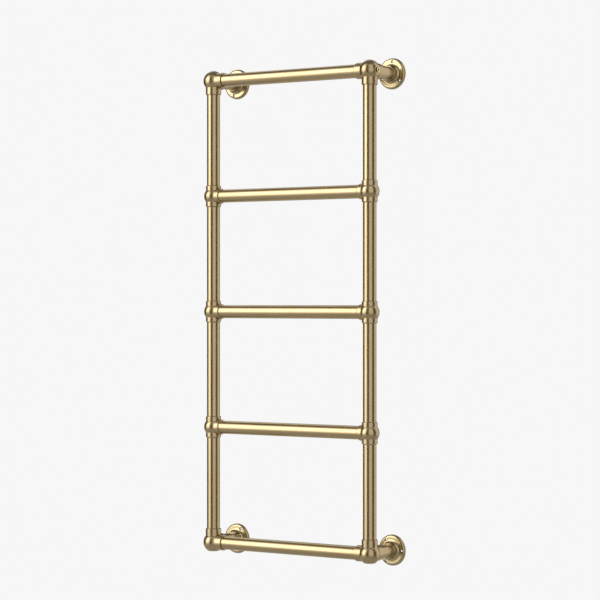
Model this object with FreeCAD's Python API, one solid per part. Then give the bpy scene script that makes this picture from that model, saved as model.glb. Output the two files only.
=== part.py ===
"""Wall-hung heated towel rail: a ladder of brass tube joined by cast ball fittings.

All sizes are in millimetres. The wall is the plane Y = 0 and the rail stands out from it towards -Y.
X runs along the bars, Z is up, and the origin is the middle of the four wall flanges.
"""

import FreeCAD, Part

import math
import os

Vector = FreeCAD.Vector

# Brass tube, the same for the uprights, the bars and the standoffs
tube_outside = 38.1
tube_wall = 1.5

# The ladder
bar_count = 5
bar_pitch = 336.0
upright_centres = 541.0
wall_projection = 120.0

# Sockets and waterways in the ball fittings
solder_gap = 0.1
socket_stop_margin = 1.45
main_waterway = 24.0
branch_waterway = 22.0

# Corner ball: upright, bar and standoff meet here
corner_collar_wall = 3.35
corner_collar_rounding = 1.0
corner_socket_depth = 19.5
corner_ball_overhang = 7.0

# Tee ball: a bar meets an upright here
tee_collar_wall = 2.95
tee_collar_rounding = 2.6
tee_socket_depth = 10.5
tee_ball_overhang = 5.4

# Water inlet in the underside of each lower corner ball, at the outside size of a half-inch pipe thread
inlet_face_cut = 4.0
inlet_bore = 20.955
inlet_chamfer = 0.8

# Bleed valve in the side of the right upper corner ball
bleed_seat_cut = 3.2
bleed_thread = 9.6
bleed_thread_gap = 0.1
bleed_thread_length = 11.0
washer_outside = 13.0
washer_thickness = 0.8
hex_across_flats = 14.0
hex_height = 2.6
hex_chamfer = 0.6
screw_well = 6.6
screw_well_depth = 6.4
vent_bore = 2.0
vent_seat_height = 2.0

# Bleed screw in the middle of the valve
screw_diameter = 4.8
screw_gap = 0.05
screw_square = 4.4
screw_square_height = 2.6

# Wall flange: a turned rose with a hollow back, described from its hub outwards
flange_bore_gap = 0.05
hub_wall = 2.2
hub_length = 8.8
hub_rounding = 1.2
hub_cove = 10.0
face_width = 5.7
rim_rounding = 7.0
rim_height = 1.0
rim_wall = 6.0
boss_wall = 8.1
flange_skin = 4.0
standoff_wall_gap = 3.0

# Countersunk screw holes of the flanges
hole_count = 3
hole_diameter = 6.0
hole_edge_gap = 1.0
countersink_diameter = 9.0

# How far each flange is turned on its standoff, in degrees, anticlockwise from the front
flange_turns = {"top_left": 17.0, "top_right": 83.0, "bottom_left": 62.0, "bottom_right": 0.0}

# Worked out from the sizes above: tube, sockets and balls
tube_radius = tube_outside / 2
tube_bore_radius = tube_radius - tube_wall
socket_radius = tube_radius + solder_gap
socket_stop = tube_radius + socket_stop_margin
corner_collar_radius = socket_radius + corner_collar_wall
corner_ball_radius = corner_collar_radius + corner_ball_overhang
corner_reach = socket_stop + corner_socket_depth
tee_collar_radius = socket_radius + tee_collar_wall
tee_ball_radius = tee_collar_radius + tee_ball_overhang
tee_reach = socket_stop + tee_socket_depth

# Worked out: the bleed valve, along its axis from the middle of the ball
bleed_seat = corner_ball_radius - bleed_seat_cut
bleed_hole_radius = bleed_thread / 2 + bleed_thread_gap
hex_base = bleed_seat + washer_thickness
hex_top = hex_base + hex_height
well_floor = hex_top - screw_well_depth
shank_end = bleed_seat - bleed_thread_length
screw_radius = screw_diameter / 2
screw_bore_radius = screw_radius + screw_gap
vent_radius = vent_bore / 2
vent_seat = shank_end + vent_seat_height

# Worked out: the wall flange, as radii and heights above the wall
flange_bore_radius = tube_radius + flange_bore_gap
hub_radius = flange_bore_radius + hub_wall
cove_radius = hub_radius + hub_cove
face_radius = cove_radius + face_width
flange_radius = face_radius + rim_rounding
face_height = rim_height + rim_rounding
cove_height = face_height + hub_cove
hub_height = cove_height + hub_length
boss_radius = flange_bore_radius + boss_wall
recess_radius = flange_radius - rim_wall
recess_depth = face_height - flange_skin
hole_radius = hole_diameter / 2
hole_circle_radius = recess_radius - hole_edge_gap - hole_radius
countersink_depth = countersink_diameter / 2 - hole_radius
countersink_floor = face_height - countersink_depth

# Worked out: the ladder's corners
right_x = upright_centres / 2
rail_y = -wall_projection
top_z = bar_pitch * (bar_count - 1) / 2

CENTRE = Vector(0, 0, 0)
LEFT, RIGHT = Vector(-1, 0, 0), Vector(1, 0, 0)
FRONT, BACK = Vector(0, -1, 0), Vector(0, 1, 0)
DOWN, UP = Vector(0, 0, -1), Vector(0, 0, 1)


def rod(radius, start, end, direction, base=CENTRE):
    """A round rod along a direction, between two distances from its base point."""
    return Part.makeCylinder(radius, end - start, base + direction * start, direction)


def tube(start, end, direction, base):
    """A length of the brass tube."""
    outside = rod(tube_radius, start, end, direction, base)
    return outside.cut(rod(tube_bore_radius, start, end, direction, base))


def section(start, *steps):
    """The closed outline of a turned piece, in points of (radius, height).

    A step is the next point, or a pair for an arc of up to a quarter turn: its centre and its end.
    """
    edges = []
    here = Vector(start[0], 0, start[1])
    for step in steps + (start,):
        if isinstance(step[0], tuple):
            centre, there = (Vector(radius, 0, height) for radius, height in step)
            outward = here + there - centre * 2
            middle = centre + outward * ((here - centre).Length / outward.Length)
            edges.append(Part.Arc(here, middle, there).toShape())
        else:
            there = Vector(step[0], 0, step[1])
            edges.append(Part.makeLine(here, there))
        here = there
    return Part.Face(Part.Wire(edges))


def turned(outline, direction):
    """A solid turned from a section, with its height along a direction."""
    solid = outline.revolve(CENTRE, UP, 360)
    solid.Placement = FreeCAD.Placement(CENTRE, FreeCAD.Rotation(UP, direction))
    return solid


def collar(radius, ball_radius, reach, rounding, direction):
    """The outside of one port: a short cylinder out of the ball with a rounded outer edge."""
    root = math.sqrt(ball_radius**2 - radius**2) / 2
    inner = radius - rounding
    edge = reach - rounding
    outline = section((0, root), (radius, root), (radius, edge), ((inner, edge), (inner, reach)), (0, reach))
    return turned(outline, direction)


def ball_fitting(ball_radius, collar_radius, reach, rounding, *ports):
    """A cast ball with a collar and a blind tube socket on every port."""
    collars = [collar(collar_radius, ball_radius, reach, rounding, port) for port in ports]
    sockets = [rod(socket_radius, socket_stop, reach, port) for port in ports]
    return Part.makeSphere(ball_radius).fuse(collars).removeSplitter().cut(sockets)


def tee_ball(branch):
    """A fitting that joins a bar, on the branch side, to the upright above and below it."""
    fitting = ball_fitting(
        tee_ball_radius, tee_collar_radius, tee_reach, tee_collar_rounding, UP, DOWN, branch
    )
    main = rod(main_waterway / 2, -tee_reach, tee_reach, UP)
    side = rod(branch_waterway / 2, 0, tee_reach, branch)
    return fitting.cut(main).cut(side)


def corner_ball(upright, branch):
    """A fitting at the end of an upright, with a dry socket for the standoff at its back."""
    fitting = ball_fitting(
        corner_ball_radius, corner_collar_radius, corner_reach, corner_collar_rounding, upright, branch, BACK
    )
    main = rod(main_waterway / 2, -main_waterway / 2, corner_reach, upright)
    side = rod(branch_waterway / 2, 0, corner_reach, branch)
    return fitting.cut(main).cut(side)


def milled(ball, depth, direction):
    """A corner ball with a flat milled on one side, to a depth below its surface."""
    return ball.cut(rod(corner_ball_radius, corner_ball_radius - depth, corner_ball_radius, direction))


def with_inlet(ball):
    """A corner ball with the water inlet tapped through a flat in its underside, chamfered at its mouth."""
    face = corner_ball_radius - inlet_face_cut
    radius = inlet_bore / 2
    inlet = section(
        (0, 0), (radius, 0), (radius, face - inlet_chamfer), (radius + inlet_chamfer, face), (0, face)
    )
    return milled(ball, inlet_face_cut, DOWN).cut(turned(inlet, DOWN))


def with_bleed_hole(ball):
    """A corner ball with the bleed valve's seat and hole on its right side."""
    return milled(ball, bleed_seat_cut, RIGHT).cut(rod(bleed_hole_radius, 0, corner_ball_radius, RIGHT))


def bleed_washer():
    """The sealing ring under the hexagon of the bleed valve."""
    ring = rod(washer_outside / 2, bleed_seat, hex_base, RIGHT)
    return ring.cut(rod(bleed_hole_radius, bleed_seat, hex_base, RIGHT))


def hexagon_head():
    """The hexagon of the bleed valve, two corners level, chamfered as a turned nut is."""
    corner_radius = hex_across_flats / math.sqrt(3)
    turns = [math.radians(60 * corner + 30) for corner in range(7)]
    corners = [
        Vector(hex_base, corner_radius * math.sin(turn), corner_radius * math.cos(turn)) for turn in turns
    ]
    prism = Part.Face(Part.makePolygon(corners)).extrude(RIGHT * hex_height)
    blunt = section(
        (0, hex_base),
        (corner_radius, hex_base),
        (corner_radius, hex_top - hex_chamfer),
        (corner_radius - hex_chamfer * 2, hex_top),
        (0, hex_top),
    )
    return prism.common(turned(blunt, RIGHT))


def bleed_valve():
    """A hexagon plug with a well for the key, a bore for the bleed screw and a cone seat for its tip."""
    shank = rod(bleed_thread / 2, shank_end, hex_base, RIGHT)
    passage = section(
        (0, shank_end),
        (vent_radius, shank_end),
        (vent_radius, vent_seat),
        (screw_bore_radius, vent_seat + vent_seat_height),
        (screw_bore_radius, well_floor),
        (screw_well / 2, well_floor),
        (screw_well / 2, hex_top),
        (0, hex_top),
    )
    return hexagon_head().fuse(shank).removeSplitter().cut(turned(passage, RIGHT))


def bleed_screw():
    """The screw that opens the valve: a cone tip, a plain shank for its thread and a square for the key."""
    slope = (screw_bore_radius - vent_radius) / vent_seat_height
    tip = vent_seat + screw_gap * 2
    tip_radius = vent_radius + slope * screw_gap
    cone_top = tip + (screw_radius - tip_radius) / slope
    shoulder = well_floor + screw_gap
    outline = section(
        (0, tip), (tip_radius, tip), (screw_radius, cone_top), (screw_radius, shoulder), (0, shoulder)
    )
    corner = Vector(shoulder, -screw_square / 2, -screw_square / 2)
    square = Part.makeBox(screw_square_height, screw_square, screw_square, corner)
    return turned(outline, RIGHT).fuse(square).removeSplitter()


def flange_section():
    """Half the section of a wall flange: wall face, rounded rim, flat face, cove and hub."""
    hub_edge = hub_height - hub_rounding
    hub_rim = hub_radius - hub_rounding
    return section(
        (flange_bore_radius, 0),
        (flange_radius, 0),
        (flange_radius, rim_height),
        ((face_radius, rim_height), (face_radius, face_height)),
        (cove_radius, face_height),
        ((cove_radius, cove_height), (hub_radius, cove_height)),
        (hub_radius, hub_edge),
        ((hub_rim, hub_edge), (hub_rim, hub_height)),
        (flange_bore_radius, hub_height),
    )


def screw_hole():
    """What a countersunk screw hole takes out of a flange: a plain hole and a right-angled cone above it."""
    cone_height = countersink_depth * 2
    cone_top = countersink_floor + cone_height
    return turned(
        section(
            (0, 0),
            (hole_radius, 0),
            (hole_radius, countersink_floor),
            (hole_radius + cone_height, cone_top),
            (0, cone_top),
        ),
        FRONT,
    )


def wall_flange():
    """The rose against the wall, with its wall face at Y = 0, its hub towards -Y and a screw hole on +X."""
    recess = rod(recess_radius, 0, recess_depth, FRONT).cut(rod(boss_radius, 0, recess_depth, FRONT))
    rose = turned(flange_section(), FRONT).cut(recess)
    for hole in range(hole_count):
        angle = 2 * math.pi * hole / hole_count
        place = Vector(math.cos(angle), 0, math.sin(angle)) * hole_circle_radius
        rose = rose.cut(screw_hole().translated(place))
    return rose


def add_ladder(pieces):
    """Adds the bars, the lengths of upright and the tee balls, numbered from the top."""
    heights = [top_z - bar_pitch * row for row in range(bar_count)]
    for row, z in enumerate(heights, start=1):
        left_end = Vector(-right_x, rail_y, z)
        pieces[f"bar_{row}"] = tube(socket_stop, upright_centres - socket_stop, RIGHT, left_end)
        for side, x, inward in (("left", -right_x, RIGHT), ("right", right_x, LEFT)):
            crossing = Vector(x, rail_y, z)
            if row < bar_count:
                pieces[f"upright_{side}_{row}"] = tube(socket_stop, bar_pitch - socket_stop, DOWN, crossing)
            if 1 < row < bar_count:
                pieces[f"tee_ball_{side}_{row}"] = tee_ball(inward).translated(crossing)


def add_corners(pieces):
    """Adds each corner's ball, standoff and wall flange."""
    for corner, turn in flange_turns.items():
        x, inward = (-right_x, RIGHT) if corner.endswith("left") else (right_x, LEFT)
        z, upright = (top_z, DOWN) if corner.startswith("top") else (-top_z, UP)
        crossing = Vector(x, rail_y, z)
        ball = corner_ball(upright, inward)
        if upright == UP:
            ball = with_inlet(ball)
        elif inward == LEFT:
            ball = with_bleed_hole(ball)
        pieces[f"corner_ball_{corner}"] = ball.translated(crossing)
        pieces[f"standoff_{corner}"] = tube(socket_stop, wall_projection - standoff_wall_gap, BACK, crossing)
        flange = wall_flange()
        flange.rotate(CENTRE, FRONT, turn)
        pieces[f"wall_flange_{corner}"] = flange.translated(Vector(x, 0, z))


def add_bleed_valve(pieces):
    """Adds the bleed valve in the right upper corner ball."""
    crossing = Vector(right_x, rail_y, top_z)
    pieces["bleed_washer"] = bleed_washer().translated(crossing)
    pieces["bleed_valve"] = bleed_valve().translated(crossing)
    pieces["bleed_screw"] = bleed_screw().translated(crossing)


def main():
    """Builds every piece and writes one file for each."""
    pieces = {}
    add_ladder(pieces)
    add_corners(pieces)
    add_bleed_valve(pieces)
    os.makedirs("parts", exist_ok=True)
    for name, shape in pieces.items():
        shape.exportStep(os.path.join("parts", f"{name}.step"))


main()
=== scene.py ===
"""The looks of a wall-hung heated towel rail in satin brass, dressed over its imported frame.

Everything is in metres, in the frame's own axes: X runs along the bars, Z is up, and the wall is the plane
Y = 0 behind the rail.
"""

import logging
import math
from dataclasses import dataclass
from enum import Enum
from functools import partial
from typing import Any, Callable, Iterable, Sequence

import bpy
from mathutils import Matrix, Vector

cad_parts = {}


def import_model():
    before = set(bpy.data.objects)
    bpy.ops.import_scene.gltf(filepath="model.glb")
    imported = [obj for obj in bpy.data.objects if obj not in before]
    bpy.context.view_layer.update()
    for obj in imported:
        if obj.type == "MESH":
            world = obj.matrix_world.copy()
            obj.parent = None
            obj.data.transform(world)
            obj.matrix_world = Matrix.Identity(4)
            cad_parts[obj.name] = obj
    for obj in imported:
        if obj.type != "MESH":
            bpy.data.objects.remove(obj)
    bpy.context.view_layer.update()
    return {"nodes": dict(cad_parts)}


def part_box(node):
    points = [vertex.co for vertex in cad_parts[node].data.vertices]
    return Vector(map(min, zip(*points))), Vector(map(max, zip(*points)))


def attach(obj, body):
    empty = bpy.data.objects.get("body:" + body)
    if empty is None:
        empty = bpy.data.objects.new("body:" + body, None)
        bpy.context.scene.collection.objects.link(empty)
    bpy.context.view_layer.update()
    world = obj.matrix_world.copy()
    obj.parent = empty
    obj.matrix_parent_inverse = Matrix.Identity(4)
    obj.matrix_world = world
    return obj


LOG = logging.getLogger("towel_rail")

Triple = tuple[float, float, float]
Colour = Triple
Span = tuple[float, float]
Nodes = dict[str, bpy.types.Object]
Value = Any


class Signal:
    """A node socket that takes part in Python expressions, so that shader maths reads as maths."""

    def __init__(self, graph: "Graph", socket: bpy.types.NodeSocket) -> None:
        """Keeps the socket and the graph that it belongs to."""
        self.graph = graph
        self.socket = socket

    def _math(self, operation: str, first: Value, second: Value) -> "Signal":
        """Adds the Math node of one operation."""
        return self.graph.node("ShaderNodeMath", {"operation": operation}, {0: first, 1: second})

    def __add__(self, other: Value) -> "Signal":
        """The sum with another value."""
        return self._math("ADD", self, other)

    def __radd__(self, other: Value) -> "Signal":
        """The sum with a number on the left."""
        return self._math("ADD", other, self)

    def __sub__(self, other: Value) -> "Signal":
        """The difference from another value."""
        return self._math("SUBTRACT", self, other)

    def __rsub__(self, other: Value) -> "Signal":
        """The difference of a number on the left."""
        return self._math("SUBTRACT", other, self)

    def __mul__(self, other: Value) -> "Signal":
        """The product with another value."""
        return self._math("MULTIPLY", self, other)

    def __rmul__(self, other: Value) -> "Signal":
        """The product with a number on the left."""
        return self._math("MULTIPLY", other, self)

    def between(self, low: float, high: float) -> "Signal":
        """A smooth step from 0 at one value to 1 at another.

        Args:
            low: the value that gives 0.
            high: the value that gives 1.

        Returns:
            The step, held at its ends.
        """
        settings = {"interpolation_type": "SMOOTHSTEP"}
        inputs = {"Value": self, "From Min": low, "From Max": high}
        return self.graph.node("ShaderNodeMapRange", settings, inputs)


class Graph:
    """A node tree that is filled through one method."""

    def __init__(self, tree: bpy.types.NodeTree) -> None:
        """Empties the tree."""
        self.tree = tree
        tree.nodes.clear()

    def node(self, kind: str, settings: dict[str, Any] | None = None,
             inputs: dict[str | int, Value] | None = None, output: str | int = 0) -> Signal:
        """Adds a node.

        Args:
            kind: the node's type.
            settings: its properties, set before its sockets.
            inputs: values or signals by socket name or number.
            output: the socket to give back.

        Returns:
            The chosen output as a signal, or the first input of a node that has no outputs.
        """
        made = self.tree.nodes.new(kind)
        for name, value in (settings or {}).items():
            setattr(made, name, value)
        for name, value in (inputs or {}).items():
            if isinstance(value, Signal):
                self.tree.links.new(value.socket, made.inputs[name])
            else:
                made.inputs[name].default_value = value
        return Signal(self, made.outputs[output] if made.outputs else made.inputs[0])

    def mix(self, share: Value, first: Value, second: Value) -> Signal:
        """Mixes two colours.

        Args:
            share: how much of the second colour shows.
            first: a colour or a signal.
            second: a colour or a signal.

        Returns:
            The mixed colour.
        """
        colours = [value if isinstance(value, Signal) else (*value, 1.0) for value in (first, second)]
        return self.node("ShaderNodeMix", {"data_type": "RGBA"}, {0: share, 6: colours[0], 7: colours[1]}, 2)

    def coordinate(self, kind: str = "Object") -> Signal:
        """One kind of texture coordinate."""
        return self.node("ShaderNodeTexCoord", output=kind)

    def vector(self, operation: str, *inputs: Value) -> Signal:
        """The vector that a Vector Math operation gives."""
        return self.node("ShaderNodeVectorMath", {"operation": operation}, dict(enumerate(inputs)))

    def measure(self, operation: str, *inputs: Value) -> Signal:
        """The number that a Vector Math operation gives."""
        return self.node("ShaderNodeVectorMath", {"operation": operation}, dict(enumerate(inputs)), "Value")

    def noise(self, place: Signal, scale: float, detail: float = 2.0, roughness: float = 0.5) -> Signal:
        """A noise value around 0.5."""
        inputs = {"Vector": place, "Scale": scale, "Detail": detail, "Roughness": roughness}
        return self.node("ShaderNodeTexNoise", None, inputs)


def new_material(name: str) -> tuple[bpy.types.Material, Graph]:
    """Makes an empty node material.

    Args:
        name: the material's name.

    Returns:
        The material and the graph that fills it.
    """
    made = bpy.data.materials.new(name)
    made.use_nodes = True
    return made, Graph(made.node_tree)


class Grain(Enum):
    """The way that a brass surface was brushed, as stretch factors of its hairlines along X, Y and Z."""

    ALONG_BARS = (0.012, 1.0, 1.0)
    ALONG_STANDOFFS = (1.0, 0.012, 1.0)
    ALONG_UPRIGHTS = (1.0, 1.0, 0.012)
    ALL_WAYS = (0.35, 0.35, 0.35)


class Axis(Enum):
    """The axis that a turned piece was turned about, as the factors that leave only the distance from it."""

    ALONG_X = (0.0, 1.0, 1.0)
    ALONG_Y = (1.0, 0.0, 1.0)


@dataclass(frozen=True)
class Brass:
    """A satin brass finish: fine marks, a drifting tone, hand-polished waves, painted shade in the creases,
    and edges lightened by wear and by a painted highlight.
    """

    name: str
    colour: Colour = (0.540, 0.418, 0.237)
    warm_colour: Colour = (0.522, 0.392, 0.208)
    edge_highlight_colour: Colour = (0.62, 0.49, 0.29)
    crease_shade_colour: Colour = (0.085, 0.058, 0.024)
    roughness: float = 0.23
    mark_roughness: float = 0.09
    mark_scale: float = 1500.0
    mark_depth: float = 0.000004
    wave_scale: float = 55.0
    wave_depth: float = 0.00002
    tone_scale: float = 7.0
    tone_span: Span = (0.35, 0.68)
    smudge_scale: float = 26.0
    smudge_span: Span = (0.48, 0.75)
    smudge_roughness: float = 0.05
    crease_shade_reach: float = 0.0040
    crease_shade_span: Span = (0.40, 0.94)
    crease_shade_strength: float = 0.8
    crease_roughness: float = 0.15
    edge_radius: float = 0.0009
    edge_span: Span = (0.86, 0.995)
    edge_highlight_strength: float = 0.55
    edge_polish: float = 0.05

    def marks(self, graph: Graph) -> Signal:
        """The fine marks that the last tool left, around 0.5."""
        return graph.noise(graph.coordinate(), self.mark_scale, detail=3.0, roughness=0.6)

    def shaded_crease(self, graph: Graph) -> Signal:
        """1 in the corners that the occlusion finds, where the colour is darkened as painted shade and the
        surface made rougher, and 0 on open metal.

        Args:
            graph: the material's graph.

        Returns:
            How deep in a corner each place lies.
        """
        # Painted shade goes where the ambient occlusion within this reach is high.
        settings, reach = {"samples": 8}, {"Distance": self.crease_shade_reach}
        openness = graph.node("ShaderNodeAmbientOcclusion", settings, reach, "AO")
        return 1 - openness.between(*self.crease_shade_span)

    def edge(self, graph: Graph) -> Signal:
        """1 along the outer edges, which are lightened partly as wear that hands and cloths rub bright and
        partly as a painted highlight.

        Args:
            graph: the material's graph.

        Returns:
            How close to an edge each place lies.
        """
        rounded = graph.node("ShaderNodeBevel", {"samples": 4}, {"Radius": self.edge_radius})
        facing = graph.node("ShaderNodeNewGeometry", output="Normal")
        return 1 - graph.measure("DOT_PRODUCT", rounded, facing).between(*self.edge_span)

    def material(self) -> bpy.types.Material:
        """Makes the material.

        Returns:
            A node material for the CAD nodes or meshes of this finish.
        """
        made, graph = new_material(self.name)
        place = graph.coordinate()
        marks = self.marks(graph)
        shaded_crease = self.shaded_crease(graph)
        edge = self.edge(graph) * (1 - shaded_crease)
        tone = graph.noise(place, self.tone_scale, detail=4.0, roughness=0.55).between(*self.tone_span)
        smudge = graph.noise(place, self.smudge_scale, detail=3.0, roughness=0.6).between(*self.smudge_span)
        body = graph.mix(tone, self.colour, self.warm_colour)
        # Painted highlight over rubbed wear: the outer edges turn a lighter brass.
        rubbed_and_highlit = graph.mix(edge * self.edge_highlight_strength, body, self.edge_highlight_colour)
        # Painted shade: the colour darkens towards a near-black brown in the corners that the occlusion
        # finds.
        colour = graph.mix(shaded_crease * self.crease_shade_strength, rubbed_and_highlit, self.crease_shade_colour)
        polished = self.roughness + smudge * self.smudge_roughness - edge * self.edge_polish
        worn = polished + shaded_crease * self.crease_roughness
        roughness = worn + (marks - 0.5) * (self.mark_roughness * 2)
        relief = graph.noise(place, self.wave_scale, detail=1.0)
        waves = graph.node("ShaderNodeBump", None, {"Height": relief, "Distance": self.wave_depth})
        bump = graph.node("ShaderNodeBump", None,
                          {"Height": marks, "Distance": self.mark_depth, "Normal": waves})
        shader = graph.node("ShaderNodeBsdfPrincipled", None,
                            {"Base Color": colour, "Metallic": 1.0, "Roughness": roughness, "Normal": bump})
        graph.node("ShaderNodeOutputMaterial", None, {"Surface": shader})
        return made


@dataclass(frozen=True)
class BrushedBrass(Brass):
    """Brass tube or castings, brushed in one direction or in all."""

    grain: Grain = Grain.ALL_WAYS
    fine_share: float = 0.6
    coarse_scale: float = 0.35

    def marks(self, graph: Graph) -> Signal:
        """Hairlines along the brushing, fine ones over coarse ones.

        Args:
            graph: the material's graph.

        Returns:
            The hairlines, around 0.5.
        """
        place = graph.vector("MULTIPLY", graph.coordinate(), self.grain.value)
        fine = graph.noise(place, self.mark_scale, roughness=0.6)
        coarse = graph.noise(place, self.mark_scale * self.coarse_scale, roughness=0.6)
        return fine * self.fine_share + coarse * (1 - self.fine_share)


@dataclass(frozen=True)
class TurnedBrass(Brass):
    """Brass turned on a lathe, with the tool's fine rings around the axis of the piece."""

    axis: Axis = Axis.ALONG_Y
    size: Triple = (0.088, 0.027, 0.088)
    ring_scale: float = 2600.0
    drilled: bool = False
    corner_share: float = 0.75
    wall_span: Span = (0.004, 0.03)

    def from_axis(self, graph: Graph) -> Signal:
        """The way from the axis of the piece.

        Args:
            graph: the material's graph.

        Returns:
            A vector in metres, square to the axis.
        """
        middle = graph.vector("SUBTRACT", graph.coordinate("Generated"), (0.5, 0.5, 0.5))
        lengths = tuple(length * keep for length, keep in zip(self.size, self.axis.value))
        return graph.vector("MULTIPLY", middle, lengths)

    def marks(self, graph: Graph) -> Signal:
        """Rings around the middle of the piece, of uneven depth.

        Args:
            graph: the material's graph.

        Returns:
            The rings, around 0.5.
        """
        away = graph.measure("LENGTH", self.from_axis(graph))
        ring = graph.node("ShaderNodeCombineXYZ", None, {"X": away * self.ring_scale})
        return graph.noise(ring, 1.0, detail=3.0, roughness=0.65)

    def shaded_crease(self, graph: Graph) -> Signal:
        """1 in the corners and on the walls of holes drilled beside the axis, which both get painted shade.

        A turned face never leans around the axis, so a face that does is the wall of a drilled hole.

        Args:
            graph: the material's graph.

        Returns:
            How deep in a corner or hole each place lies.
        """
        corner = super().shaded_crease(graph)
        if not self.drilled:
            return corner
        along = tuple(1.0 - keep for keep in self.axis.value)
        around = graph.vector("NORMALIZE", graph.vector("CROSS_PRODUCT", self.from_axis(graph), along))
        lean = graph.measure("DOT_PRODUCT", around, graph.coordinate("Normal"))
        wall = (lean * lean).between(*self.wall_span)
        # Painted shade: the hole walls and the corners darken together.
        return 1 - (1 - corner * self.corner_share) * (1 - wall)


@dataclass(frozen=True)
class Fibre:
    """The dark pressed fibre of a sealing ring."""

    name: str = "sealing_fibre"
    colour: Colour = (0.055, 0.030, 0.022)
    fleck_colour: Colour = (0.16, 0.09, 0.06)
    roughness: float = 0.78
    fleck_scale: float = 1800.0
    fleck_stretch: Triple = (0.3, 1.0, 1.0)
    fleck_span: Span = (0.5, 0.75)
    fleck_roughness: float = 0.2
    fleck_depth: float = 0.00004

    def material(self) -> bpy.types.Material:
        """Makes the material.

        Returns:
            A node material for the ring.
        """
        made, graph = new_material(self.name)
        place = graph.vector("MULTIPLY", graph.coordinate(), self.fleck_stretch)
        flecks = graph.noise(place, self.fleck_scale, detail=3.0, roughness=0.6)
        colour = graph.mix(flecks.between(*self.fleck_span), self.colour, self.fleck_colour)
        roughness = self.roughness + (flecks - 0.5) * self.fleck_roughness
        bump = graph.node("ShaderNodeBump", None, {"Height": flecks, "Distance": self.fleck_depth})
        shader = graph.node("ShaderNodeBsdfPrincipled", None,
                            {"Base Color": colour, "Roughness": roughness, "Normal": bump})
        graph.node("ShaderNodeOutputMaterial", None, {"Surface": shader})
        return made


def add_mesh(name: str, points: Iterable[Sequence[float]], faces: Sequence[Sequence[int]],
             finish: bpy.types.Material) -> bpy.types.Object:
    """Adds a mesh to the scene.

    Args:
        name: the name of the mesh and its object.
        points: its points.
        faces: its faces, as numbers of points.
        finish: its material.

    Returns:
        The new object.
    """
    mesh = bpy.data.meshes.new(name)
    mesh.from_pydata([tuple(point) for point in points], [], faces)
    mesh.materials.append(finish)
    made = bpy.data.objects.new(name, mesh)
    bpy.context.scene.collection.objects.link(made)
    return made


@dataclass(frozen=True)
class Card:
    """A dark card of the studio, which gives the brass a dark line. Turns are in degrees from the camera."""

    first_turn: float
    last_turn: float
    top: float
    shade: float


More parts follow.
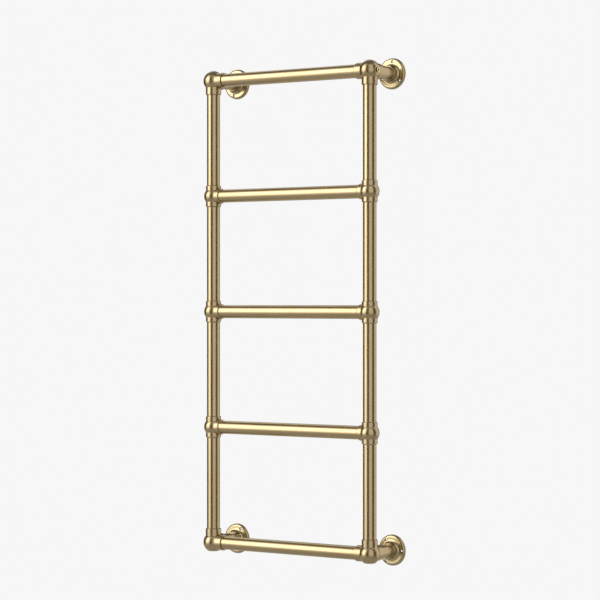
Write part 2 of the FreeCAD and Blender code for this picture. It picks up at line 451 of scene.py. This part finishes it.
@dataclass
class Studio:
    """The camera, the lamp, the cards that shape the reflections, and the floor."""

    # The camera, which looks level at the rail
    view_turn: float = 34.49
    camera_distance: float = 6.244
    camera_height: float = 0.03378
    camera_offset: float = 0.02955
    camera_reach: float = 200.0
    lens: float = 131.56
    rail_plane: float = -0.120

    # The backdrop and the floor
    backdrop: float = 0.93
    ambient: float = 0.50
    floor_height: float = -3.0
    floor_reach: float = 120.0
    floor_front: float = 3.0
    floor_fade: Span = (3.5, 14.0)
    floor_shade: float = 0.66

    # The dark cards around the rail, which run out along the floor
    cards_distance: float = 25.0
    cards_run: Span = (2.5, 13.0)
    cards_soft: float = 5.0
    run_lift: float = 0.01
    cards: tuple[Card, ...] = (
        Card(-146.0, -98.0, 47.0, 0.04),
        Card(-47.0, -12.0, 31.0, 0.07),
        Card(42.0, 78.0, 31.0, 0.07),
        Card(138.0, 184.0, 21.0, 0.12),
    )

    # The dark ceiling
    ceiling_height: float = 28.0
    ceiling_back: float = 2.5
    ceiling_half: float = 40.0
    ceiling_fade: Span = (17.5, 22.0)
    ceiling_shade: float = 0.19

    # The key lamp, with its brightness at the core and at the edge, and the fade in shares of its size
    key_turn: float = -71.0
    key_distance: float = 20.0
    key_size: Span = (18.3, 25.7)
    key_height: float = 9.0
    key_core: float = 2.36
    key_edge: float = 0.70
    key_fade: Span = (0.16, 0.54)

    def direction(self, turn: float) -> Vector:
        """A level direction, turned from the camera's side of the rail towards its right, in degrees."""
        angle = math.radians(self.view_turn + turn)
        return Vector((math.sin(angle), -math.cos(angle), 0.0))

    def build(self) -> None:
        """Makes the camera, the world, the lamp, the cards and the floor."""
        scene = bpy.context.scene
        scene.view_settings.view_transform = "Standard"
        self.add_camera(scene)
        self.light_world(scene)
        self.add_key_lamp(scene)
        self.add_cards()
        self.add_ceiling()
        self.add_floor()

    def add_camera(self, scene: bpy.types.Scene) -> None:
        """Sets the camera level, at the photograph's angle and distance.

        Args:
            scene: the scene to look at.
        """
        data = bpy.data.cameras.new("camera")
        data.lens = self.lens
        data.clip_end = self.camera_reach
        camera = bpy.data.objects.new("camera", data)
        scene.collection.objects.link(camera)
        towards = self.direction(0.0)
        right = self.direction(90.0)
        camera.location = (Vector((0.0, self.rail_plane, self.camera_height))
                           + towards * self.camera_distance + right * self.camera_offset)
        camera.rotation_euler = (math.radians(90.0), 0.0, math.radians(self.view_turn))
        scene.camera = camera

    def seen_directly(self, graph: Graph) -> Signal:
        """1 for rays from the camera, from a mirror or through glass, and 0 for rays that light things.

        Args:
            graph: the graph of the material or the world.

        Returns:
            The kind of the ray.
        """
        path = "ShaderNodeLightPath"
        seen = graph.node(path, output="Is Camera Ray") + graph.node(path, output="Is Glossy Ray")
        return (seen + graph.node(path, output="Is Transmission Ray")).between(0.0, 1.0)

    def light_world(self, scene: bpy.types.Scene) -> None:
        """Gives the world a pale backdrop and a softer ambient light.

        Args:
            scene: the scene to light.
        """
        world = bpy.data.worlds.new("studio")
        world.use_nodes = True
        scene.world = world
        graph = Graph(world.node_tree)
        shade = graph.mix(self.seen_directly(graph), (self.ambient,) * 3, (self.backdrop,) * 3)
        background = graph.node("ShaderNodeBackground", None, {"Color": shade})
        graph.node("ShaderNodeOutputWorld", None, {"Surface": background})

    def add_key_lamp(self, scene: bpy.types.Scene) -> None:
        """Hangs one large soft lamp to the left of the camera, brightest at its middle.

        Args:
            scene: the scene to light.
        """
        width, height = self.key_size
        data = bpy.data.lights.new("key_lamp", "AREA")
        data.shape = "RECTANGLE"
        data.size = width
        data.size_y = height
        # This power makes the lamp as bright as the strength that its nodes give
        data.energy = math.pi * width * height
        data.use_nodes = True
        graph = Graph(data.node_tree)
        place = graph.node("ShaderNodeNewGeometry", output="Parametric")
        away = graph.measure("LENGTH", graph.vector("SUBTRACT", place, (0.5, 0.5, 0.0)))
        level = self.key_core - away.between(*self.key_fade) * (self.key_core - self.key_edge)
        glow = graph.node("ShaderNodeEmission", None, {"Strength": level})
        graph.node("ShaderNodeOutputLight", None, {"Surface": glow})
        lamp = bpy.data.objects.new("key_lamp", data)
        scene.collection.objects.link(lamp)
        away_from_rail = self.direction(self.key_turn)
        lamp.location = away_from_rail * self.key_distance + Vector((0.0, 0.0, self.key_height))
        lamp.rotation_euler = away_from_rail.to_track_quat("Z", "Y").to_euler()
        lamp.visible_camera = False

    @staticmethod
    def level_place(graph: Graph) -> Signal:
        """The level way from the object's own origin."""
        return graph.vector("MULTIPLY", graph.coordinate(), (1.0, 1.0, 0.0))

    def from_middle(self, graph: Graph) -> Signal:
        """The level distance from the object's own origin."""
        return graph.measure("LENGTH", self.level_place(graph))

    def card_cover(self, card: Card, graph: Graph) -> Signal:
        """How solid a card is: less towards its sides, and where it runs out along the floor.

        Args:
            card: the card.
            graph: its material's graph.

        Returns:
            1 where the card is solid and 0 where it is clear.
        """
        outward = graph.vector("NORMALIZE", self.level_place(graph))
        middle = self.direction((card.first_turn + card.last_turn) / 2)
        facing = graph.measure("DOT_PRODUCT", outward, tuple(middle))
        half = (card.last_turn - card.first_turn) / 2
        outside = math.cos(math.radians(half + self.cards_soft))
        inside = math.cos(math.radians(half - self.cards_soft))
        return facing.between(outside, inside) * self.from_middle(graph).between(*self.cards_run)

    def ceiling_cover(self, graph: Graph) -> Signal:
        """How solid the dark ceiling is: less towards its edge."""
        return 1 - self.from_middle(graph).between(*self.ceiling_fade)

    def card_material(self, name: str, shade: float, cover: Callable[[Graph], Signal]) -> bpy.types.Material:
        """A card of one even shade that thins out towards its edges.

        Args:
            name: the card's name.
            shade: how much light it gives.
            cover: gives how solid the card is at each place, from 0 to 1.

        Returns:
            The card's material.
        """
        made, graph = new_material(name)
        glow = graph.node("ShaderNodeEmission", None, {"Color": (*(shade,) * 3, 1.0)})
        clear = graph.node("ShaderNodeBsdfTransparent")
        card = graph.node("ShaderNodeMixShader", None, {0: cover(graph), 1: clear, 2: glow})
        graph.node("ShaderNodeOutputMaterial", None, {"Surface": card})
        return made

    def add_panel(self, name: str, corners: Sequence[Vector],
                  finish: bpy.types.Material) -> bpy.types.Object:
        """Adds one flat panel of the studio, which isn't part of the object.

        Args:
            name: the panel's name.
            corners: its corners in order.
            finish: its material.

        Returns:
            The panel.
        """
        panel = add_mesh(name, corners, [tuple(range(len(corners)))], finish)
        return panel

    def add_dark_panel(self, name: str, corners: Sequence[Vector],
                       finish: bpy.types.Material) -> bpy.types.Object:
        """Adds a dark panel that only the brass can see.

        Args:
            name: the panel's name.
            corners: its corners in order.
            finish: its material.

        Returns:
            The panel.
        """
        panel = self.add_panel(name, corners, finish)
        panel.visible_camera = False
        panel.visible_diffuse = False
        panel.visible_shadow = False
        return panel

    def add_cards(self) -> None:
        """Stands dark cards around the rail that run out along the floor."""
        low = Vector((0.0, 0.0, self.floor_height))
        for number, card in enumerate(self.cards, start=1):
            high = Vector((0.0, 0.0, card.top))
            near = self.direction(card.first_turn - self.cards_soft) * self.cards_distance
            far = self.direction(card.last_turn + self.cards_soft) * self.cards_distance
            finish = self.card_material(f"dark_card_{number}", card.shade, partial(self.card_cover, card))
            corners = (near + low, far + low, far + high, near + high)
            self.add_dark_panel(f"dark_card_{number}", corners, finish)
            run = self.add_dark_panel(f"dark_run_{number}", (Vector(), near, far), finish)
            run.location = low + Vector((0.0, 0.0, self.run_lift))

    def add_ceiling(self) -> None:
        """Hangs a square dark ceiling above the rail."""
        reach = self.ceiling_half * math.sqrt(2.0)
        corners = [self.direction(turn) * reach for turn in (45.0, 135.0, 225.0, 315.0)]
        finish = self.card_material("dark_ceiling", self.ceiling_shade, self.ceiling_cover)
        ceiling = self.add_dark_panel("dark_ceiling", corners, finish)
        ceiling.location = self.direction(180.0) * self.ceiling_back + Vector((0.0, 0.0, self.ceiling_height))

    def add_floor(self) -> None:
        """Lays a pale floor that fades into the backdrop."""
        finish, graph = new_material("pale_floor")
        fade = self.from_middle(graph).between(*self.floor_fade) * self.seen_directly(graph)
        matt = graph.node("ShaderNodeBsdfDiffuse", None, {"Color": (*(self.floor_shade,) * 3, 1.0)})
        glow = graph.node("ShaderNodeEmission", None, {"Color": (*(self.backdrop,) * 3, 1.0)})
        shader = graph.node("ShaderNodeMixShader", None, {0: fade, 1: matt, 2: glow})
        graph.node("ShaderNodeOutputMaterial", None, {"Surface": shader})
        reach = self.floor_reach
        corners = [Vector((x, y, 0.0)) for x, y in
                   ((-reach, -reach), (reach, -reach), (reach, reach), (-reach, reach))]
        floor = self.add_panel("floor", corners, finish)
        floor.location = self.direction(0.0) * self.floor_front + Vector((0.0, 0.0, self.floor_height))


def dress(nodes: Nodes, names: Iterable[str], finish: bpy.types.Material) -> None:
    """Gives CAD nodes a finish.

    Args:
        nodes: every CAD node by name.
        names: the nodes to dress.
        finish: their new material.
    """
    for name in names:
        for slot in nodes[name].material_slots:
            slot.material = finish
        LOG.info("dressed %s with %s", name, finish.name)


def add_detail(name: str, points: Iterable[Sequence[float]], faces: Sequence[Sequence[int]],
               finish: bpy.types.Material) -> bpy.types.Object:
    """Adds a smooth mesh of fine detail that rides on the rail, in the given finish.

    Args:
        name: the piece's name.
        points: its points.
        faces: its faces, as numbers of points.
        finish: its material.

    Returns:
        The piece.
    """
    piece = add_mesh(name, points, faces, finish)
    piece.data.validate()
    piece.data.shade_smooth()
    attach(piece, "rail")
    LOG.info("built %s", name)
    return piece


def middle_of(node: str) -> Vector:
    """The middle of a CAD node's box."""
    low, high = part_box(node)
    return (low + high) / 2


@dataclass
class Tubes:
    """The bars, the uprights and the standoffs, all of one brass tube."""

    nodes: Nodes

    def dress(self) -> None:
        """Brushes each tube along its length."""
        for start, grain in (("bar_", Grain.ALONG_BARS), ("upright_", Grain.ALONG_UPRIGHTS),
                             ("standoff_", Grain.ALONG_STANDOFFS)):
            names = [name for name in self.nodes if name.startswith(start)]
            dress(self.nodes, names, BrushedBrass(f"{start}brass", grain=grain).material())


@dataclass
class BallFittings:
    """The cast balls at the crossings, and the ring of solder at the mouth of every collar."""

    nodes: Nodes
    tube_radius: float = 0.01905
    fillet_height: float = 0.0007
    fillet_width: float = 0.0004
    fillet_root: float = 0.0004
    fillet_sink: float = 0.00004
    fillet_steps: int = 5
    ring_steps: int = 96

    def names(self) -> list[str]:
        """The CAD nodes that are balls."""
        return [name for name in self.nodes if "_ball_" in name]

    def dress(self) -> None:
        """Gives the balls their hand-polished brass."""
        finish = BrushedBrass("ball_brass", grain=Grain.ALL_WAYS, roughness=0.27, wave_depth=0.00005)
        dress(self.nodes, self.names(), finish.material())

    def centre(self, ball: str) -> Vector:
        """The middle of a ball, where the axes of its tubes cross.

        Args:
            ball: the ball's CAD node.

        Returns:
            The place in the frame.
        """
        kind, _, place = ball.partition("_ball_")
        side = "left" if "left" in place else "right"
        upright = middle_of(f"upright_{side}_1")
        if kind == "tee":
            height = middle_of(ball).z
        else:
            height = middle_of("bar_1" if place.startswith("top") else "bar_5").z
        return Vector((upright.x, upright.y, height))

    def ports(self, ball: str) -> list[Vector]:
        """The directions in which a ball's tubes leave it.

        Args:
            ball: the ball's CAD node.

        Returns:
            One direction for each tube.
        """
        inward = Vector((1.0 if "left" in ball else -1.0, 0.0, 0.0))
        up, back = Vector((0.0, 0.0, 1.0)), Vector((0.0, 1.0, 0.0))
        if ball.startswith("tee"):
            return [up, -up, inward]
        return [-up if "top" in ball else up, inward, back]

    def section(self) -> list[tuple[float, float]]:
        """The hollow-faced section of the solder.

        Returns:
            Points as radii and heights from the mouth of a collar.
        """
        inner = self.tube_radius - self.fillet_sink
        points = [(inner, -self.fillet_root)]
        for step in range(self.fillet_steps + 1):
            turn = math.pi / 2 * step / self.fillet_steps
            points.append((inner + self.fillet_width * (1 - math.cos(turn)),
                           self.fillet_height * (1 - math.sin(turn)) - self.fillet_sink))
        points.append((inner + 2 * self.fillet_sink, -self.fillet_root))
        return points

    def build(self) -> None:
        """Lays a ring of solder where each tube leaves its collar, one mesh for each ball."""
        finish = Brass("solder_brass", colour=(0.47, 0.38, 0.24), warm_colour=(0.42, 0.33, 0.19),
                       roughness=0.34, mark_scale=900.0, wave_scale=420.0, wave_depth=0.0001).material()
        for ball in self.names():
            low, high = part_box(ball)
            centre = self.centre(ball)
            rings = []
            for port in self.ports(ball):
                reach = max(port.dot(low), port.dot(high))
                rings.append((centre + port * (reach - port.dot(centre)), port))
            self.add_solder(f"solder_{ball}", rings, finish)

    def add_solder(self, name: str, rings: Sequence[tuple[Vector, Vector]],
                   finish: bpy.types.Material) -> None:
        """Turns the solder's section about each port, as one mesh.

        Args:
            name: the mesh's name.
            rings: the middle and direction of each ring.
            finish: the solder's material.
        """
        section = self.section()
        count = len(section)
        points: list[Vector] = []
        faces: list[tuple[int, ...]] = []
        for middle, port in rings:
            across = port.orthogonal().normalized()
            along = port.cross(across)
            first = len(points)
            for step in range(self.ring_steps):
                turn = 2 * math.pi * step / self.ring_steps
                out = across * math.cos(turn) + along * math.sin(turn)
                points += [middle + out * radius + port * height for radius, height in section]
            for step in range(self.ring_steps):
                here = first + step * count
                there = first + (step + 1) % self.ring_steps * count
                for corner in range(count):
                    after = (corner + 1) % count
                    faces.append((here + corner, there + corner, there + after, here + after))
        add_detail(name, points, faces, finish)


@dataclass
class InletThreads:
    """The pipe threads in the two water inlets, as ridges that stand out of the plain bores."""

    nodes: Nodes
    bore_radius: float = 0.0104775
    mouth: float = -0.0247
    pitch: float = 0.001814
    depth: float = 0.00116
    turns: float = 6.5
    turn_steps: int = 72
    first_pitch: float = 0.5
    root_share: float = 0.46
    crest_share: float = 0.10
    sink: float = 0.0003
    run_out: float = 0.6
    sharp_angle: float = 30.0

    def build(self) -> None:
        """Winds one thread into each inlet."""
        finish = Brass("thread_brass", roughness=0.30, crease_shade_reach=0.003).material()
        balls = BallFittings(self.nodes)
        for side in ("left", "right"):
            self.add_thread(f"thread_inlet_{side}", balls.centre(f"corner_ball_bottom_{side}"), finish)

    def section(self, wound: float) -> list[tuple[float, float]]:
        """The ridge's section at one place along the thread, where it is lower towards both ends.

        Args:
            wound: the turns from the start of the thread.

        Returns:
            Points as heights in shares of the pitch, and radii.
        """
        height = min(1.0, wound / self.run_out, (self.turns - wound) / self.run_out) * self.depth
        root = self.bore_radius + self.sink
        crest = self.bore_radius - height
        return [(-self.root_share, root), (-self.crest_share, crest),
                (self.crest_share, crest), (self.root_share, root)]

    def add_thread(self, name: str, centre: Vector, finish: bpy.types.Material) -> None:
        """Winds the ridge up from the mouth of an inlet.

        Args:
            name: the mesh's name.
            centre: the middle of the ball.
            finish: the thread's material.
        """
        steps = int(self.turns * self.turn_steps)
        corners = len(self.section(0.0))
        points: list[Vector] = []
        for step in range(steps + 1):
            wound = step / self.turn_steps
            out = Vector((math.cos(2 * math.pi * wound), math.sin(2 * math.pi * wound), 0.0))
            rise = self.mouth + self.pitch * (wound + self.first_pitch)
            for share, radius in self.section(wound):
                points.append(centre + out * radius + Vector((0.0, 0.0, rise + share * self.pitch)))
        faces: list[tuple[int, ...]] = []
        for step in range(steps):
            here = step * corners
            there = here + corners
            for corner in range(corners):
                after = (corner + 1) % corners
                faces.append((here + corner, here + after, there + after, there + corner))
        faces.append(tuple(reversed(range(corners))))
        faces.append(tuple(steps * corners + corner for corner in range(corners)))
        thread = add_detail(name, points, faces, finish)
        thread.data.set_sharp_from_angle(angle=math.radians(self.sharp_angle))


@dataclass
class WallFlanges:
    """The turned roses that the rail is screwed to the wall by."""

    nodes: Nodes

    def dress(self) -> None:
        """Gives the flanges the rings of the lathe, and painted shade in their corners and on the walls of
        their screw holes.
        """
        names = [name for name in self.nodes if name.startswith("wall_flange_")]
        low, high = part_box(names[0])
        # Painted shade: the corners and the screw holes' walls darken nearly to black.
        finish = TurnedBrass("flange_brass", colour=(0.530, 0.424, 0.240), warm_colour=(0.515, 0.402, 0.216),
                             axis=Axis.ALONG_Y, size=tuple(high - low), edge_radius=0.0007,
                             crease_shade_colour=(0.030, 0.025, 0.014), crease_shade_reach=0.0018,
                             crease_shade_strength=1.0, drilled=True)
        dress(self.nodes, names, finish.material())


@dataclass
class BleedValve:
    """The hexagon valve at the top, its screw and its sealing ring."""

    nodes: Nodes
    valve_tint: float = 1.5
    screw_tint: float = 0.84

    def dress(self) -> None:
        """Gives the valve and screw machined brass and the ring its fibre."""
        for name, tint in (("bleed_valve", self.valve_tint), ("bleed_screw", self.screw_tint)):
            low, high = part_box(name)
            colour = tuple(part * tint for part in Brass.colour)
            # Painted shade: the corners and the screw's well darken nearly to black, over a wide reach.
            finish = TurnedBrass(f"{name}_brass", colour=colour, warm_colour=colour, axis=Axis.ALONG_X,
                                 size=tuple(high - low), roughness=0.18, edge_radius=0.0003,
                                 crease_shade_colour=(0.016, 0.012, 0.006), crease_shade_reach=0.0045,
                                 crease_shade_strength=1.0)
            dress(self.nodes, [name], finish.material())
        dress(self.nodes, ["bleed_washer"], Fibre().material())


def main() -> None:
    """Loads the frame, dresses every piece and sets up the studio."""
    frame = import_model()
    nodes = frame["nodes"]
    Tubes(nodes).dress()
    balls = BallFittings(nodes)
    balls.dress()
    balls.build()
    InletThreads(nodes).build()
    WallFlanges(nodes).dress()
    BleedValve(nodes).dress()
    Studio().build()


if __name__ == "__main__":
    logging.basicConfig(level=logging.INFO)
    main()
